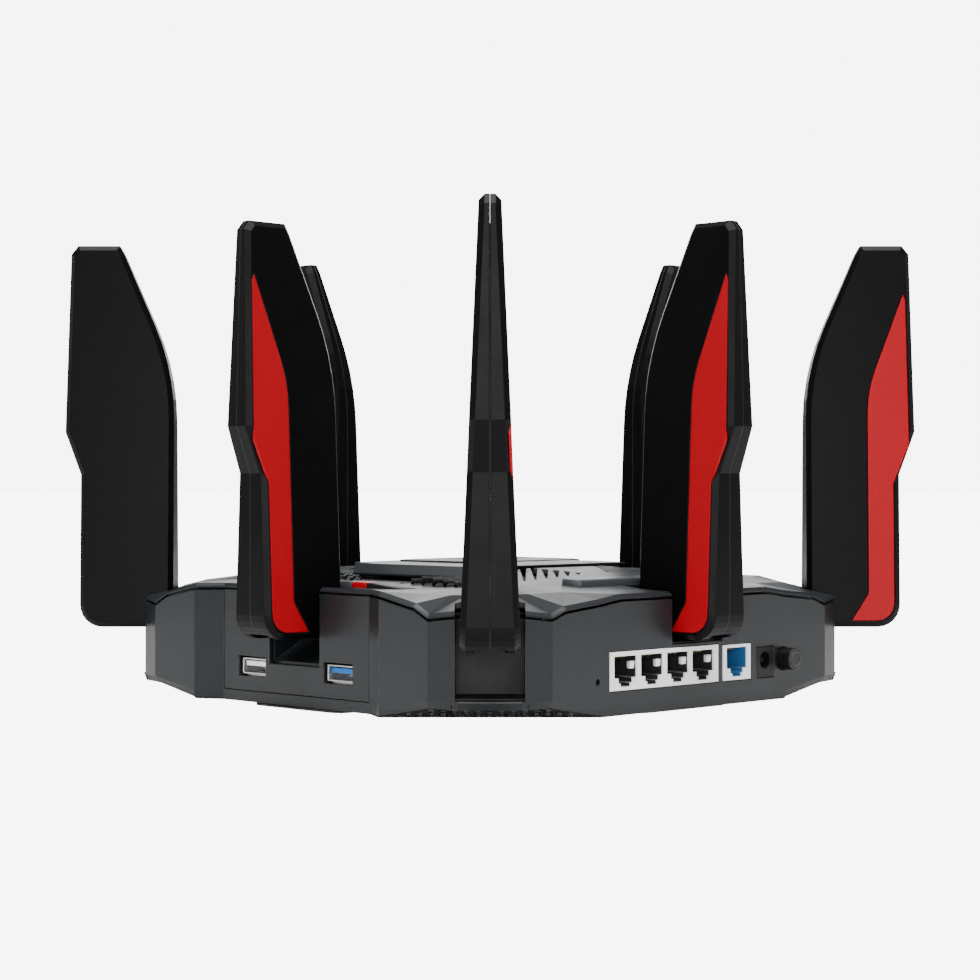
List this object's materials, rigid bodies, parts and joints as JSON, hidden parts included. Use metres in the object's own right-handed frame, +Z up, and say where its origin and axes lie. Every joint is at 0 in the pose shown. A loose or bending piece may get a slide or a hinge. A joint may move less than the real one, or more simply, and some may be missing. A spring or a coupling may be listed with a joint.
{
  "type": "wireless router",
  "caption": "Low square wireless router with a slitted deck, folding blade antennas round its edge, and network, power and USB sockets in its sides",
  "frame": {"origin": "middle of the footprint, on the surface that the feet stand on", "axes": "+Z up; +Y towards the rear face with the network sockets; +X towards the right side with the USB sockets"},
  "size_m": [0.254, 0.254, 0.1751],
  "materials": {
    "case_plastic": "charcoal moulded plastic, satin to semi-gloss",
    "canopy_plastic": "charcoal moulded plastic, satin",
    "board_laminate": "green solder-masked glass laminate",
    "heatsink_aluminium": "plain extruded",
    "shield_steel": "tinned pressed sheet",
    "socket_plastic": "light grey socket housing",
    "wan_socket_plastic": "light grey housing with a blue port",
    "inlet_plastic": "black, plain",
    "button_plastic": "black, satin",
    "usb_steel": "nickel-plated shell",
    "light_guide_plastic": "smoked translucent",
    "foot_rubber": "matt black",
    "mount_plastic": "black, fine texture",
    "antenna_plastic": "black, satin faces with glossy bevels",
    "inlay_plastic": "signal red, glossy",
    "radiator_brass": "thin plated sheet"
  },
  "bodies": {
    "chassis": {"case": "case_plastic", "top_cover": "case_plastic", "side_panel_right": "case_plastic", "side_panel_left": "case_plastic", "centre_canopy": "canopy_plastic", "main_board": "board_laminate", "heatsink": "heatsink_aluminium", "radio_shield": "shield_steel", "lan_sockets": "socket_plastic", "wan_socket": "wan_socket_plastic", "power_inlet": "inlet_plastic", "usb2_socket": "usb_steel", "usb3_socket": "usb_steel", "status_light_guide": "light_guide_plastic", "right_foot": "foot_rubber", "rear_foot": "foot_rubber", "left_foot": "foot_rubber", "front_foot": "foot_rubber", "right_antenna_mount": "mount_plastic", "rear_right_antenna_mount": "mount_plastic", "rear_antenna_mount": "mount_plastic", "rear_left_antenna_mount": "mount_plastic", "left_antenna_mount": "mount_plastic", "front_left_antenna_mount": "mount_plastic", "front_antenna_mount": "mount_plastic", "front_right_antenna_mount": "mount_plastic"},
    "right_antenna": {"right_antenna_inlaid_shell": "antenna_plastic", "right_antenna_plain_shell": "antenna_plastic", "right_antenna_inlay": "inlay_plastic", "right_antenna_radiator": "radiator_brass"},
    "rear_right_antenna": {"rear_right_antenna_inlaid_shell": "antenna_plastic", "rear_right_antenna_plain_shell": "antenna_plastic", "rear_right_antenna_inlay": "inlay_plastic", "rear_right_antenna_radiator": "radiator_brass"},
    "rear_antenna": {"rear_antenna_inlaid_shell": "antenna_plastic", "rear_antenna_plain_shell": "antenna_plastic", "rear_antenna_inlay": "inlay_plastic", "rear_antenna_radiator": "radiator_brass"},
    "rear_left_antenna": {"rear_left_antenna_inlaid_shell": "antenna_plastic", "rear_left_antenna_plain_shell": "antenna_plastic", "rear_left_antenna_inlay": "inlay_plastic", "rear_left_antenna_radiator": "radiator_brass"},
    "left_antenna": {"left_antenna_inlaid_shell": "antenna_plastic", "left_antenna_plain_shell": "antenna_plastic", "left_antenna_inlay": "inlay_plastic", "left_antenna_radiator": "radiator_brass"},
    "front_left_antenna": {"front_left_antenna_inlaid_shell": "antenna_plastic", "front_left_antenna_plain_shell": "antenna_plastic", "front_left_antenna_inlay": "inlay_plastic", "front_left_antenna_radiator": "radiator_brass"},
    "front_antenna": {"front_antenna_inlaid_shell": "antenna_plastic", "front_antenna_plain_shell": "antenna_plastic", "front_antenna_inlay": "inlay_plastic", "front_antenna_radiator": "radiator_brass"},
    "front_right_antenna": {"front_right_antenna_inlaid_shell": "antenna_plastic", "front_right_antenna_plain_shell": "antenna_plastic", "front_right_antenna_inlay": "inlay_plastic", "front_right_antenna_radiator": "radiator_brass"},
    "power_button_body": {"power_button": "button_plastic"},
    "reset_button_body": {"reset_button": "button_plastic"}
  },
  "joints": [
    {"name": "right_antenna_hinge", "type": "hinge", "parent": "chassis", "child": "right_antenna", "pos_m": [0.11205, 0, 0.03475], "axis": [0, 1, 0], "range_deg": [0, 90]},
    {"name": "rear_right_antenna_hinge", "type": "hinge", "parent": "chassis", "child": "rear_right_antenna", "pos_m": [0.10681, 0.10681, 0.03475], "axis": [-0.7071, 0.7071, 0], "range_deg": [0, 90]},
    {"name": "rear_antenna_hinge", "type": "hinge", "parent": "chassis", "child": "rear_antenna", "pos_m": [0, 0.11205, 0.03475], "axis": [-1, 0, 0], "range_deg": [0, 90]},
    {"name": "rear_left_antenna_hinge", "type": "hinge", "parent": "chassis", "child": "rear_left_antenna", "pos_m": [-0.10681, 0.10681, 0.03475], "axis": [-0.7071, -0.7071, 0], "range_deg": [0, 90]},
    {"name": "left_antenna_hinge", "type": "hinge", "parent": "chassis", "child": "left_antenna", "pos_m": [-0.11205, 0, 0.03475], "axis": [0, -1, 0], "range_deg": [0, 90]},
    {"name": "front_left_antenna_hinge", "type": "hinge", "parent": "chassis", "child": "front_left_antenna", "pos_m": [-0.10681, -0.10681, 0.03475], "axis": [0.7071, -0.7071, 0], "range_deg": [0, 90]},
    {"name": "front_antenna_hinge", "type": "hinge", "parent": "chassis", "child": "front_antenna", "pos_m": [0, -0.11205, 0.03475], "axis": [1, 0, 0], "range_deg": [0, 90]},
    {"name": "front_right_antenna_hinge", "type": "hinge", "parent": "chassis", "child": "front_right_antenna", "pos_m": [0.10681, -0.10681, 0.03475], "axis": [0.7071, 0.7071, 0], "range_deg": [0, 90]},
    {"name": "power_button_slide", "type": "slide", "parent": "chassis", "child": "power_button_body", "axis": [0, -1, 0], "range_m": [0, 0.0015], "stiffness_N_per_m": 1200},
    {"name": "reset_button_slide", "type": "slide", "parent": "chassis", "child": "reset_button_body", "axis": [0, -1, 0], "range_m": [0, 0.0008], "stiffness_N_per_m": 1200}
  ]
}
